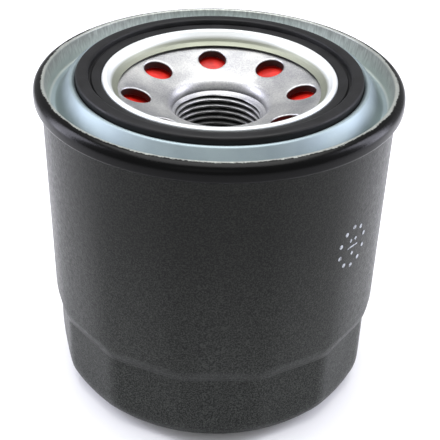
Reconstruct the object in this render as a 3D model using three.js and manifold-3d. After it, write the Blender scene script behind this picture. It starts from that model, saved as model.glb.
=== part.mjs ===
// Spin-on oil filter for a small engine: a painted steel canister with a zinc-plated seaming lid,
// a threaded base plate, a nitrile gasket, and the element, valves and springs that it holds.
// Units are millimetres. +Z runs along the axis towards the threaded end, and z = 0 is the closed
// end's resting face.
import * as THREE from 'three';
import { mergeVertices } from 'three/addons/utils/BufferGeometryUtils.js';
import Module from 'manifold-3d';

const wasm = await Module();
wasm.setup();

// Driving dimensions: the whole filter.
const overallHeight = 75.5; // resting face to the gasket's crest
const canRadius = 38.4; // outside of the painted wall
const canWall = 0.4; // drawn steel sheet
const fit = 0.3; // clearance left between pieces that touch
const outerSegments = 42; // a multiple of the number of flats
const innerSegments = 24;

// Closed end of the canister.
const bottomCorner = 7.0; // outside radius between wall and end face
const panelRadius = 20.5; // raised centre panel
const panelRise = 1.3;
const panelBend = 2.0; // roundings of the panel's step
const panelStep = 2.2; // width of that step
const flatCount = 14;
const flatPhase = 2.8; // degrees from +X to the first corner between flats
const flatDepth = 1.4; // how far the middle of a flat is pressed in from the wall
const flatsTop = 21.6; // height at which the flats run out
const flatsShoulder = 1.4; // height of the sloping shoulder above each flat

// Double seam between canister and lid.
const seamOverhang = 1.6; // how far the seam stands out of the wall
const seamHeight = 3.8;
const seamRound = 1.7; // rounding from the top of the seam to its outside
const gasketProud = 1.05; // gasket crest above the top of the seam
const seamGap = 0.1; // between the folded layers
const lidSheet = 0.4;

// Seaming lid: countersink, ridge and gasket groove.
const countersinkDepth = 4.6; // top of the seam to the bottom of the countersink
const countersinkTaper = 0.7; // how far the wall leans in on its way down
const valleyWidth = 1.7;
const ridgeRun = 3.2; // width of the slope from the countersink up to the ridge
const ridgeLand = 1.0; // ridge crest to the groove's outer side
const ridgeRise = 0.15; // ridge crest above the top of the seam
const ridgeLip = 0.6; // height of the ridge's inner face down to the groove's side
const beadRise = 0.05; // inner bead above the top of the seam
const beadLand = 0.9; // flat run on the bead's top
const beadFlare = 2.2; // how far the bead's foot reaches inwards
const beadFoot = 0.9; // flat run of the foot on the base plate
const lidBend = 0.4; // small press radius
const deepBend = 0.8;

// Sealing gasket.
const gasketWidth = 5.6; // groove side to groove side
const gasketLipWidth = 2.7; // raised outer part
const gasketStep = 1.1; // raised part above the inner part
const gasketRound = 0.5;
const gasketChannel = 0.4; // depth of the channel at the foot of the step
const gasketFall = 0.3; // fall of the inner part towards its edge

// Threaded base plate.
const plateSheet = 1.8;
const plateAboveValley = 1.0; // weld flange above the bottom of the countersink
const plateLap = 0.6; // weld flange reach past the ridge crest
const plateDish = 2.6; // how far the plate dips before it rolls into the collar
const threadRadius = 10.0; // M20 x 1.5 internal thread, major radius
const threadPitch = 1.5;
const threadTurns = 6;
const threadDepth = 0.81;
const collarWall = 1.9; // from the thread's major radius out
const mouthRadius = 2.8; // roll from plate to collar
const mouthLand = 0.4; // bore of the mouth beyond the thread's major radius
const mouthChamfer = 0.3;
const threadLead = 0.1; // share of a pitch from the mouth to the first crest
const threadFlank = 0.5; // share of a pitch from a crest to the next root
const inletCount = 8;
const inletRadius = 3.2;
const inletWeb = 1.8; // metal between the mouth's roll and the inlet holes
const inletPhase = 6.0; // degrees from +X
const dishMargin = 1.2; // flat run between the holes and the weld flange

// Anti-drain-back valve of silicone rubber.
const drainNeckWall = 2.6;
const drainFlap = 1.1; // flap thickness
const drainLap = 5.6; // flap reach past the inlet holes
const drainNeckHeight = 4.4;
const drainFoot = 0.6; // how far the neck's foot stands out
const drainFootHeight = 1.4;
const drainSlope = 0.06; // rise of the flap towards its lip, per millimetre
const drainLipTaper = 0.9; // width of the thinned edge

// Filter element.
const elementGap = 5.2; // oil space between the element and the can wall
const capSheet = 0.5;
const capFlange = 3.2;
const capCollar = 2.6; // height of the top cap's centre collar
const capBend = 0.9;
const capClearance = 1.1; // valve neck to the top cap's hole
const pottingDepth = 1.2;
const tubeSheet = 0.5;
const tubeHoleRadius = 1.9;
const tubeHoleRows = 5;
const tubeHoleColumns = 8;
const pleatCount = 36;
const paperThickness = 0.5;
const pleatTip = 0.9; // width of each folded tip
const pleatTipInner = 0.54; // the same beside the tube
const elementLift = 12.6; // element's underside above the inside of the closed end
const clipReach = 4.0; // how far the clip grips the folded paper
const clipSheet = 0.3;

// Bypass valve in the bottom end cap.
const inletPortRadius = 5.4;
const seatSheet = 0.8;
const seatInset = 0.9; // port edge to the middle of the seat's raised ring
const seatBeadWidth = 1.1;
const seatBead = 0.9; // height of the seat's raised ring
const discRadius = 7.6;
const discThickness = 0.8;
const discBoss = 1.6; // height of the boss that centres the coil
const sealThickness = 1.2;
const sealOverlap = 1.6; // how far the seal reaches in past the port's edge
const cageRadius = 10.6;
const cageHeight = 13.0;
const cageSheet = 0.6;
const cageWindows = 4;
const cageWindowWidth = 6.0;
const cageHole = 2.6; // radius of the hole in its top
const bypassWire = 1.0;
const bypassCoilRadius = 5.0;
const bypassTurns = 5;
const closedTurn = 0.12; // share of the coil's length that lies closed at each end

// Leaf spring under the element.
const leafCount = 4;
const leafSheet = 0.8;
const leafWidth = 9.0;
const leafHub = 5.6; // width of the ring that carries the leaves
const leafPort = 2.2; // inlet port edge to the hub's hole
const leafBend = 2.4;
const leafPad = 3.0; // flat foot that stands on the closed end
const leafToe = 1.2; // height of each leaf's turned-up end
const leafReach = 13.0; // from the hub out to the foot

// Levels and radii that follow from the above.
const seamTop = overallHeight - gasketProud;
const seamBottom = seamTop - seamHeight;
const rimRadius = canRadius + seamOverhang;
const acrossFlats = 2 * (canRadius - flatDepth); // cap-wrench size, 74
const wallCentre = canRadius - canWall / 2;
const hookCentre = (rimRadius + canRadius + seamGap) / 2; // midway between cover hook and skirt
const hookTurn = (hookCentre - wallCentre) / 2;
const hookTop = seamTop - lidSheet / 2 - seamRound + hookTurn; // the two roundings share a centre height
const bodyHookEnd = seamBottom + 3.2 * lidSheet;
const coverHookEnd = hookTop - hookTurn - seamGap;
const valleyLevel = seamTop - countersinkDepth; // upper face of the countersink
const plateTop = valleyLevel + plateAboveValley;
const plateUnder = plateTop - plateSheet;
const countersinkRadius = canRadius - canWall - seamGap - lidSheet / 2; // sheet centre, at the top
const ridgeRadius = countersinkRadius - countersinkTaper - valleyWidth - ridgeRun;
const grooveOuter = ridgeRadius - ridgeLand; // groove's outer side
const grooveInner = grooveOuter - gasketWidth;
const grooveFloor = plateTop + seamGap + lidSheet;
const plateRadius = ridgeRadius + plateLap;
const collarOuter = threadRadius + collarWall;
const mouthEdge = threadRadius + mouthLand;
const rollOuter = mouthEdge + mouthRadius;
const inletCircle = rollOuter + inletWeb + inletRadius;
const dishOuter = inletCircle + inletRadius + dishMargin;
const dishSlope = plateDish / (dishOuter - rollOuter);
const dishAt = (radius) => plateTop - dishSlope * Math.max(0, dishOuter - radius);
const mouthDepth = mouthRadius * Math.tan((Math.PI / 2 - Math.atan(dishSlope)) / 2);
const collarTop = dishAt(mouthEdge) - mouthDepth;
const collarBottom = collarTop - mouthChamfer - threadTurns * threadPitch;
const neckInner = collarOuter + fit;
const neckOuter = neckInner + drainNeckWall;
const neckTop = collarTop - fit;
const neckBottom = neckTop - drainNeckHeight;
const elementTop = neckBottom - fit;
const elementRadius = canRadius - canWall - elementGap;
const elementBottom = canWall + panelRise + elementLift;
const capHole = neckInner + capClearance;
const tubeInner = capHole + capSheet + fit;
const tubeOuter = tubeInner + tubeSheet;
const pottingTop = elementTop - capSheet - fit / 3;
const mediaTop = pottingTop - pottingDepth - fit;
const pottingBottom = elementBottom + capSheet + fit / 3;
const mediaBottom = pottingBottom + pottingDepth + fit;
const mediaOuter = elementRadius - capSheet - clipSheet - 2 * fit;
const mediaInner = tubeOuter + fit;

const weldPoint = 0.05; // shortest edge that is kept when shared corners are merged

const polar = (radius, angle, z = 0) =>
  new THREE.Vector3(radius * Math.cos(angle), radius * Math.sin(angle), z);
const degrees = THREE.MathUtils.degToRad;

// A path through [x, y, radius] corners, each rounded with arc points whose chords stay within
// chordError of the arc.
function roundedPath(corners, chordError = 0.08) {
  const points = [];
  corners.forEach(([x, y, radius = 0], i) => {
    const here = new THREE.Vector2(x, y);
    if (!radius || i === 0 || i === corners.length - 1) {
      points.push(here);
      return;
    }
    const before = new THREE.Vector2(corners[i - 1][0], corners[i - 1][1]).sub(here).normalize();
    const after = new THREE.Vector2(corners[i + 1][0], corners[i + 1][1]).sub(here).normalize();
    const half = Math.acos(THREE.MathUtils.clamp(before.dot(after), -1, 1)) / 2;
    const centre = before.clone().add(after).normalize().multiplyScalar(radius / Math.sin(half)).add(here);
    const start = before.clone().multiplyScalar(radius / Math.tan(half)).add(here).sub(centre);
    const turn = Math.PI - 2 * half;
    const steps = Math.ceil(turn / (2 * Math.acos(1 - chordError / Math.max(radius, 2 * chordError))));
    const side = Math.sign(before.y * after.x - before.x * after.y);
    for (let k = 0; k <= steps; k++) {
      points.push(start.clone().rotateAround(new THREE.Vector2(), (side * turn * k) / steps).add(centre));
    }
  });
  return points.filter((p, i) => i === 0 || p.distanceTo(points[i - 1]) > weldPoint / 2);
}

// The path moved sideways by a distance, with mitred corners.
function offsetPath(points, distance, closed = false) {
  const count = points.length;
  return points.map((point, i) => {
    const previous = points[closed ? (i + count - 1) % count : Math.max(i - 1, 0)];
    const next = points[closed ? (i + 1) % count : Math.min(i + 1, count - 1)];
    const into = point.clone().sub(previous);
    const out = next.clone().sub(point);
    if (!into.lengthSq()) into.copy(out);
    if (!out.lengthSq()) out.copy(into);
    const a = new THREE.Vector2(-into.y, into.x).normalize();
    const b = new THREE.Vector2(-out.y, out.x).normalize();
    const mitre = a.clone().add(b).normalize();
    return point.clone().addScaledVector(mitre, distance / mitre.dot(a));
  });
}

// Outline of a sheet-metal section: its centre path thickened to both sides.
function sheetOutline(path, thickness) {
  const left = offsetPath(path, thickness / 2);
  const right = offsetPath(path, -thickness / 2).reverse();
  const outline = [...left, ...right];
  if (path[0].x > thickness) outline.push(left[0].clone());
  return outline;
}

// Shared vertices merged, collapsed triangles dropped, faces turned outwards.
function solid(geometry) {
  const bare = geometry.clone();
  bare.deleteAttribute('normal');
  bare.deleteAttribute('uv');
  const merged = mergeVertices(bare, 1e-4);
  const position = merged.attributes.position;
  const kept = [];
  let volume = 0;
  const a = new THREE.Vector3();
  const b = new THREE.Vector3();
  const c = new THREE.Vector3();
  for (let i = 0; i < merged.index.count; i += 3) {
    const [p, q, r] = [0, 1, 2].map((k) => merged.index.getX(i + k));
    if (p === q || q === r || r === p) continue;
    kept.push([p, q, r]);
    a.fromBufferAttribute(position, p);
    b.fromBufferAttribute(position, q);
    c.fromBufferAttribute(position, r);
    volume += a.dot(b.cross(c));
  }
  const faces = volume < 0 ? kept.map(([p, q, r]) => [p, r, q]) : kept;
  merged.setIndex(faces.flat());
  return merged;
}

// An outline of (radius, height) points turned about Z. The first column of vertices stands at the
// first corner between flats, so that pieces which nest have their facets in line.
function turned(outline, segments) {
  const points = outline.map((p) => new THREE.Vector2(Math.max(p.x, 0), p.y));
  return new THREE.LatheGeometry(points, segments, Math.PI / 2 + degrees(flatPhase)).rotateX(Math.PI / 2);
}

const lathe = (outline, segments = outerSegments) => solid(turned(outline, segments));

// A plain ring: inner and outer radius, lower and upper level.
function ring(inner, outer, low, high, segments = innerSegments) {
  const outline = [[inner, low], [outer, low], [outer, high], [inner, high], [inner, low]];
  return lathe(outline.map(([x, y]) => new THREE.Vector2(x, y)), segments);
}

function toManifold(geometry) {
  const vertProperties = Float32Array.from(geometry.attributes.position.array);
  const triVerts = Uint32Array.from(geometry.index.array);
  return new wasm.Manifold(new wasm.Mesh({ numProp: 3, vertProperties, triVerts }));
}

function fromManifold(body) {
  const mesh = body.getMesh();
  const geometry = new THREE.BufferGeometry();
  geometry.setAttribute('position', new THREE.BufferAttribute(mesh.vertProperties, 3));
  geometry.setIndex(new THREE.BufferAttribute(mesh.triVerts, 1));
  return geometry;
}

const cut = (body, tools) =>
  fromManifold(tools.reduce((left, tool) => left.subtract(toManifold(tool)), toManifold(body)));
const join = (parts) =>
  fromManifold(parts.slice(1).reduce((left, part) => left.add(toManifold(part)), toManifold(parts[0])));

// Canister: a deep-drawn cup. Its outline runs along the outside from the axis to the end of the
// body hook, and back along the inside. The flats are then pressed into both faces.
function canister() {
  const half = canWall / 2;
  const path = roundedPath([
    [0, panelRise + half],
    [panelRadius, panelRise + half, panelBend],
    [panelRadius + panelStep, half, panelBend],
    [wallCentre, half, bottomCorner - half],
    [wallCentre, flatsTop - flatsShoulder],
    [wallCentre, flatsTop],
    [wallCentre, hookTop, hookTurn],
    [hookCentre, hookTop, hookTurn],
    [hookCentre, bodyHookEnd],
  ], 0.12);
  const outline = sheetOutline(path, canWall);
  const geometry = turned(outline, outerSegments);
  pressFlats(geometry, outline.length);
  return solid(geometry);
}

// Moves the vertices of the lower wall in to the flats. The first half of each column is one face
// of the sheet and the second half is the other, so the inner face keeps the sheet's thickness.
function pressFlats(geometry, columnLength) {
  const position = geometry.attributes.position;
  const sector = (2 * Math.PI) / flatCount;
  for (let i = 0; i < position.count; i++) {
    const [x, y, z] = [position.getX(i), position.getY(i), position.getZ(i)];
    if (z > flatsTop + canWall) continue;
    const outside = i % columnLength >= columnLength / 2;
    const radius = Math.hypot(x, y);
    const angle = Math.atan2(y, x) - degrees(flatPhase);
    const offCentre = angle - sector * (Math.floor(angle / sector) + 0.5);
    const apothem = acrossFlats / 2 - (outside ? 0 : canWall);
    const slope = Math.max(0, z - (flatsTop - flatsShoulder)) / flatsShoulder;
    const limit = (apothem + slope * (canRadius - acrossFlats / 2)) / Math.cos(offCentre);
    const scale = Math.min(1, limit / Math.max(radius, 1e-6));
    position.setXY(i, x * scale, y * scale);
  }
}

// Seaming lid: cover hook, outer skirt, top of the seam, countersink, ridge, gasket groove and bead.
function seamingLid() {
  const half = lidSheet / 2;
  const skirt = rimRadius - half;
  const hook = canRadius + seamGap + half;
  const turn = (skirt - hook) / 2;
  const top = seamTop - half;
  const low = seamBottom + half;
  const floor = grooveFloor - half;
  const valleyOuter = countersinkRadius - countersinkTaper;
  const bead = grooveInner - half;
  return lathe(sheetOutline(roundedPath([
    [hook, coverHookEnd],
    [hook, low, turn],
    [skirt, low, turn],
    [skirt, top, seamRound],
    [countersinkRadius, top, lidBend],
    [valleyOuter, valleyLevel - half, deepBend],
    [valleyOuter - valleyWidth, valleyLevel - half, deepBend],
    [ridgeRadius, top + ridgeRise, lidBend],
    [grooveOuter + half, top + ridgeRise - ridgeLip, lidBend],
    [grooveOuter + half, floor, lidBend],
    [bead, floor, lidBend],
    [bead, top + beadRise, lidBend],
    [bead - beadLand, top + beadRise, lidBend],
    [bead - beadFlare, floor + deepBend, deepBend],
    [bead - beadFlare - beadFoot, floor + seamGap],
  ], 0.12), lidSheet));
}

// Lining compound that fills the seam under the body hook.
function seamCompound() {
  const inner = canRadius + 2 * seamGap + lidSheet;
  const outer = rimRadius - lidSheet - seamGap;
  return ring(inner, outer, seamBottom + 2 * lidSheet, bodyHookEnd - seamGap, outerSegments);
}

// Gasket: a raised outer part that seals and a lower inner part.
function sealingGasket() {
  const outer = grooveOuter - fit;
  const inner = grooveInner + fit;
  const low = grooveFloor + fit;
  const step = outer - gasketLipWidth;
  const ledge = overallHeight - gasketStep;
  return lathe(roundedPath([
    [inner, low],
    [outer, low],
    [outer, overallHeight, gasketRound],
    [step, overallHeight, gasketRound],
    [step, ledge - gasketChannel],
    [step - gasketChannel, ledge - gasketChannel],
    [step - 2 * gasketChannel, ledge],
    [inner, ledge - gasketFall],
    [inner, low],
  ]));
}

// Base plate: flat weld flange, dish, rolled mouth and threaded collar, with a ring of inlet holes.
function basePlate() {
  const root = threadRadius;
  const crest = threadRadius - threadDepth;
  const thread = [];
  for (let turn = 0; turn < threadTurns; turn++) {
    const level = collarTop - mouthChamfer - turn * threadPitch;
    thread.push([crest, level - threadPitch * threadLead]);
    thread.push([root, level - threadPitch * (threadLead + threadFlank)]);
  }
  const outline = roundedPath([
    [plateRadius, plateUnder],
    [plateRadius, plateTop],
    [dishOuter, plateTop],
    [mouthEdge, dishAt(mouthEdge), mouthRadius],
    [mouthEdge, collarTop - weldPoint],
    ...thread,
    [crest, collarBottom],
    [collarOuter, collarBottom],
    [collarOuter, dishAt(collarOuter) - plateSheet, mouthRadius / 2],
    [dishOuter, plateUnder],
    [plateRadius, plateUnder],
  ]);
  const holes = Array.from({ length: inletCount }, (_, i) => {
    const angle = degrees(inletPhase + (360 / inletCount) * i);
    const centre = polar(inletCircle, angle, plateTop - plateSheet / 2);
    return solid(new THREE.CylinderGeometry(inletRadius, inletRadius, 4 * plateSheet, 12)
      .rotateX(Math.PI / 2).translate(centre.x, centre.y, centre.z));
  });
  return cut(lathe(outline), holes);
}

// Anti-drain-back valve: the neck that is clamped round the collar and the root of its flap.
// The flap lies under the dished plate, a little closer to it at the lip than at the neck.
const flapRootRadius = inletCircle + inletRadius - fit;
const flapLipRadius = inletCircle + inletRadius + drainLap;
const flapFace = (radius) => dishAt(radius) - plateSheet - fit - drainSlope * (flapLipRadius - radius);

function antiDrainValve() {
  const rootFace = flapFace(flapRootRadius);
  const neckFace = flapFace(neckOuter);
  return lathe(roundedPath([
    [neckInner, neckBottom],
    [neckOuter + drainFoot, neckBottom],
    [neckOuter + drainFoot, neckBottom + drainFootHeight],
    [neckOuter, neckBottom + drainFootHeight + drainFoot],
    [neckOuter, neckFace - drainFlap - drainFoot, deepBend],
    [flapRootRadius, rootFace - drainFlap],
    [flapRootRadius, rootFace],
    [neckOuter, neckFace],
    [neckInner + drainFoot, neckTop],
    [neckInner, neckTop - drainFoot],
    [neckInner, neckBottom],
  ]), innerSegments);
}

function antiDrainLip() {
  const inner = flapRootRadius + fit;
  const lipFace = flapFace(flapLipRadius);
  return lathe(roundedPath([
    [inner, flapFace(inner) - drainFlap],
    [dishOuter, flapFace(dishOuter) - drainFlap],
    [flapLipRadius - drainLipTaper, lipFace - drainFlap],
    [flapLipRadius, lipFace - drainFlap / 2],
    [flapLipRadius, lipFace - drainFlap / 4],
    [flapLipRadius - drainLipTaper, lipFace],
    [dishOuter, flapFace(dishOuter)],
    [inner, flapFace(inner)],
    [inner, flapFace(inner) - drainFlap],
  ]), innerSegments);
}

// End cap of thin tinned sheet: a disc with an outer flange and, where it has one, a centre collar.
// side is +1 for a flange and collar that point up.
function endCap(face, side, hole, collar) {
  const half = capSheet / 2;
  const level = face + side * half;
  const centre = collar
    ? [[hole + half, level + side * collar], [hole + half, level, capBend]]
    : [[hole, level]];
  return lathe(sheetOutline(roundedPath([
    ...centre,
    [elementRadius - half, level, capBend],
    [elementRadius - half, level + side * capFlange],
  ]), capSheet), innerSegments);
}

// Pleated paper: one strip folded in and out round the tube, ends joined, as a closed band.
function pleatedMedia() {
  const half = paperThickness / 2;
  const centre = [];
  for (let i = 0; i < pleatCount; i++) {
    const outerAngle = (2 * Math.PI * i) / pleatCount;
    const innerAngle = outerAngle + Math.PI / pleatCount;
    [[mediaOuter - half, outerAngle], [mediaInner + half, innerAngle]].forEach(([radius, angle]) => {
      const inwards = radius < (mediaOuter + mediaInner) / 2;
      const width = inwards ? pleatTipInner : pleatTip;
      for (const side of [-1, 1]) {
        const p = polar(radius, angle + (side * width) / 2 / radius);
        centre.push(new THREE.Vector2(p.x, p.y));
      }
    });
  }
  const shape = new THREE.Shape(offsetPath(centre, -half, true));
  shape.holes.push(new THREE.Path(offsetPath(centre, half, true)));
  const height = mediaTop - mediaBottom;
  return solid(new THREE.ExtrudeGeometry(shape, { depth: height, bevelEnabled: false })
    .translate(0, 0, mediaBottom));
}

// Steel clip that joins the ends of the paper strip: a channel over one outer fold.
function mediaClip() {
  const inner = pleatTip / 2 + paperThickness / 2 + fit;
  const front = mediaOuter + seamGap;
  const channel = [
    [front - clipReach, -inner], [front, -inner], [front, inner], [front - clipReach, inner],
    [front - clipReach, inner + clipSheet], [front + clipSheet, inner + clipSheet],
    [front + clipSheet, -inner - clipSheet], [front - clipReach, -inner - clipSheet],
  ];
  const shape = new THREE.Shape(channel.map(([x, y]) => new THREE.Vector2(x, y)));
  const height = mediaTop - mediaBottom;
  return solid(new THREE.ExtrudeGeometry(shape, { depth: height, bevelEnabled: false })
    .translate(0, 0, mediaBottom));
}

// Perforated centre tube that keeps the paper from collapsing inwards.
function centreTube() {
  const low = elementBottom + capSheet + fit;
  const high = elementTop - capSheet - fit;
  const tube = ring(tubeInner, tubeOuter, low, high);
  const pitch = (high - low) / tubeHoleRows;
  const punches = [];
  for (let row = 0; row < tubeHoleRows; row++) {
    for (let column = 0; column < tubeHoleColumns / 2; column++) {
      const angle = (2 * Math.PI * (column + (row % 2) / 2 + 0.25)) / tubeHoleColumns;
      punches.push(solid(new THREE.CylinderGeometry(tubeHoleRadius, tubeHoleRadius, 4 * tubeOuter, 6)
        .rotateZ(Math.PI / 2).rotateZ(angle).translate(0, 0, low + pitch * (row + 0.5))));
    }
  }
  return cut(tube, punches);
}

// Bypass valve, from the inlet side up: seat, rubber seal, disc, coil spring and cage.
const seatLevel = elementBottom + capSheet + fit;
const sealBottom = seatLevel + seatSheet + seatBead + fit / 3;
const discBottom = sealBottom + sealThickness + fit / 3;
const cageTop = seatLevel + seatSheet + fit + cageHeight;
const springLow = discBottom + discThickness + fit / 3;
const springHigh = cageTop - cageSheet - fit / 3;

function bypassSeat() {
  const beadRadius = inletPortRadius + seatInset;
  const crownHalf = seatBeadWidth / 4;
  return lathe(roundedPath([
    [inletPortRadius, seatLevel],
    [tubeInner - fit, seatLevel],
    [tubeInner - fit, seatLevel + seatSheet],
    [beadRadius + seatBeadWidth - crownHalf, seatLevel + seatSheet],
    [beadRadius + crownHalf, seatLevel + seatSheet + seatBead],
    [beadRadius - crownHalf, seatLevel + seatSheet + seatBead],
    [inletPortRadius, seatLevel + seatSheet],
    [inletPortRadius, seatLevel],
  ]), innerSegments);
}

function bypassDisc() {
  const boss = bypassCoilRadius - bypassWire / 2 - fit;
  return lathe(roundedPath([
    [0, discBottom],
    [discRadius, discBottom],
    [discRadius, discBottom + discThickness],
    [boss, discBottom + discThickness],
    [boss - fit, discBottom + discThickness + discBoss],
    [0, discBottom + discThickness + discBoss],
  ]), innerSegments);
}

function bypassCage() {
  const half = cageSheet / 2;
  const foot = seatLevel + seatSheet + fit + half;
  const cage = lathe(sheetOutline(roundedPath([
    [tubeInner - 2 * fit, foot],
    [cageRadius, foot, deepBend],
    [cageRadius, cageTop - half, deepBend],
    [cageHole, cageTop - half],
  ]), cageSheet), innerSegments);
  const windowHeight = cageHeight / 2;
  const windows = Array.from({ length: cageWindows }, (_, i) =>
    solid(new THREE.BoxGeometry(cageRadius, cageWindowWidth, windowHeight)
      .translate(cageRadius, 0, foot + (cageHeight - half) / 2)
      .rotateZ((2 * Math.PI * (i + 0.5)) / cageWindows)));
  return cut(cage, windows);
}

// A coil of round wire, closed at both ends so that it sits square.
function bypassSpring() {
  const steps = bypassTurns * 12;
  const rise = springHigh - springLow - bypassWire;
  const ends = closedTurn * bypassTurns * bypassWire * 1.1;
  const points = [];
  for (let i = 0; i <= steps; i++) {
    const t = i / steps;
    const climb = THREE.MathUtils.clamp((t - closedTurn) / (1 - 2 * closedTurn), 0, 1);
    const closed = Math.min(t, closedTurn) + Math.max(0, t - (1 - closedTurn));
    const level = springLow + bypassWire / 2 + (ends * closed) / closedTurn + (rise - 2 * ends) * climb;
    points.push(polar(bypassCoilRadius, 2 * Math.PI * bypassTurns * t, level));
  }
  const wire = new THREE.Shape();
  wire.absarc(0, 0, bypassWire / 2, 0, 2 * Math.PI, false);
  return solid(new THREE.ExtrudeGeometry(wire, {
    steps, curveSegments: 3, bevelEnabled: false, extrudePath: new THREE.CatmullRomCurve3(points),
  }));
}

// Leaf spring: a flat hub under the bottom end cap and curved leaves that stand on the closed end.
function supportSpring() {
  const hubTop = elementBottom - fit;
  const hubInner = inletPortRadius + leafPort;
  const hubOuter = hubInner + leafHub;
  const foot = canWall + fit + leafSheet / 2;
  const hub = ring(hubInner, hubOuter, hubTop - leafSheet, hubTop);
  const leaves = Array.from({ length: leafCount }, (_, i) => {
    const path = roundedPath([
      [hubInner + leafSheet, hubTop - leafSheet / 2],
      [hubOuter + leafSheet, hubTop - leafSheet / 2, leafBend],
      [hubOuter + leafReach - leafPad, foot, leafBend],
      [hubOuter + leafReach, foot, leafBend / 2],
      [hubOuter + leafReach + leafToe, foot + leafToe],
    ]);
    const outline = [...offsetPath(path, leafSheet / 2), ...offsetPath(path, -leafSheet / 2).reverse()];
    const shape = new THREE.Shape(outline);
    const leaf = new THREE.ExtrudeGeometry(shape, { depth: leafWidth, bevelEnabled: false })
      .translate(0, 0, -leafWidth / 2).rotateX(Math.PI / 2)
      .rotateZ((2 * Math.PI * i) / leafCount + Math.PI / flatCount);
    return solid(leaf);
  });
  return join([hub, ...leaves]);
}

const finish = (color, roughness, metalness) =>
  new THREE.MeshStandardMaterial({ color, roughness, metalness });
const blackPaint = finish('#23241f', 0.42, 0.1);
const zincPlate = finish('#b9c4c8', 0.32, 0.9);
const plainSteel = finish('#cfcfcd', 0.4, 0.9);
const nitrile = finish('#2b2b2c', 0.6, 0.0);
const redSilicone = finish('#e0301f', 0.5, 0.0);
const tinPlate = finish('#c4c6c4', 0.35, 0.9);
const springSteel = finish('#8d9091', 0.35, 0.9);
const filterPaper = finish('#cdb27c', 0.9, 0.0);
const adhesive = finish('#8a8f8c', 0.6, 0.0);
const compound = finish('#b8a77e', 0.7, 0.0);

const filter = new THREE.Group();
function place(name, geometry, material, parent = filter) {
  const mesh = new THREE.Mesh(geometry, material);
  mesh.name = name;
  parent.add(mesh);
}

place('canister', canister(), blackPaint);
place('seaming_lid', seamingLid(), zincPlate);
place('seam_compound', seamCompound(), compound);
place('sealing_gasket', sealingGasket(), nitrile);
place('base_plate', basePlate(), plainSteel);
place('anti_drain_valve', antiDrainValve(), redSilicone);
place('anti_drain_lip', antiDrainLip(), redSilicone);

const element = new THREE.Group();
filter.add(element);
place('top_end_cap', endCap(elementTop, -1, capHole, capCollar), tinPlate, element);
place('top_potting', ring(mediaInner, mediaOuter, pottingTop - pottingDepth, pottingTop), adhesive, element);
place('pleated_media', pleatedMedia(), filterPaper, element);
place('media_clip', mediaClip(), tinPlate, element);
place('centre_tube', centreTube(), tinPlate, element);
const bottomPotting = ring(mediaInner, mediaOuter, pottingBottom, pottingBottom + pottingDepth);
place('bottom_potting', bottomPotting, adhesive, element);
place('bottom_end_cap', endCap(elementBottom, 1, inletPortRadius + 2 * fit, 0), tinPlate, element);
place('bypass_seat', bypassSeat(), springSteel, element);
const seal = ring(inletPortRadius - sealOverlap, discRadius, sealBottom, sealBottom + sealThickness);
place('bypass_seal', seal, nitrile, element);
place('bypass_disc', bypassDisc(), springSteel, element);
place('bypass_spring', bypassSpring(), springSteel, element);
place('bypass_cage', bypassCage(), tinPlate, element);
place('support_spring', supportSpring(), springSteel);

export default filter;
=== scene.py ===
# Spin-on oil filter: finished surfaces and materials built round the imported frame.
# Sizes are in millimetres and turned to metres when a mesh is made.
import math

import bmesh
import bpy
from mathutils import Matrix, Vector


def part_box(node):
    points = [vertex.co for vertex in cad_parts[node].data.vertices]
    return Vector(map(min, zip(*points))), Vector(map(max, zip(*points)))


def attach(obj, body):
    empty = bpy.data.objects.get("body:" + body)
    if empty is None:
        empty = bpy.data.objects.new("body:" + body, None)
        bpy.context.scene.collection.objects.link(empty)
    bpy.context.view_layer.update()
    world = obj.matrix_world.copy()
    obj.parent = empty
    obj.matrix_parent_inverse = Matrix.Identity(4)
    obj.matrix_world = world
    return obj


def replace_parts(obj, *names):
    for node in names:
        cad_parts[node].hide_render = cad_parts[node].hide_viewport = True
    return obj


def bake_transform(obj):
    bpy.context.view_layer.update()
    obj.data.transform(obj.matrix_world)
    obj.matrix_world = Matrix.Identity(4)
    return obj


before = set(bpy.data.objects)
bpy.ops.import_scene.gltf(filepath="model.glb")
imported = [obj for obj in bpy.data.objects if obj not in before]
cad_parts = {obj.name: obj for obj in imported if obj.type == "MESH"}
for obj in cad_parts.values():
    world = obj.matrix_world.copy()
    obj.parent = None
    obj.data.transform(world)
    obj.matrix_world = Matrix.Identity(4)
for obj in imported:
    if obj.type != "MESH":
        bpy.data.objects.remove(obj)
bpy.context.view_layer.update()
scene = bpy.context.scene
mm = 0.001


def boxLevels(node):
    low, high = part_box(node)
    return low.z / mm, high.z / mm


# The levels, radii and gaps that several pieces share.
ridgeRise = 0.15  # the lid's ridge stands this far above its rolled rim
layerGap = 0.1  # between the folded layers of the seam
rimTop = boxLevels("seaming_lid")[1] - ridgeRise
gasketTop = boxLevels("sealing_gasket")[1]
plateTop = boxLevels("base_plate")[1]
rimRadius = 40.0
wallRadius = 38.4
canSheet = 0.4
lidSheet = 0.4
seamRound = 1.7
fit = 0.3


# Distances in millimetres and angles in degrees, downwards for the tilt.
view = dict(distanceBack=190.78, height=162.74, pan=0.2975, tilt=33.49, roll=1.782, lens=78.77, sensor=36.0)


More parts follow.
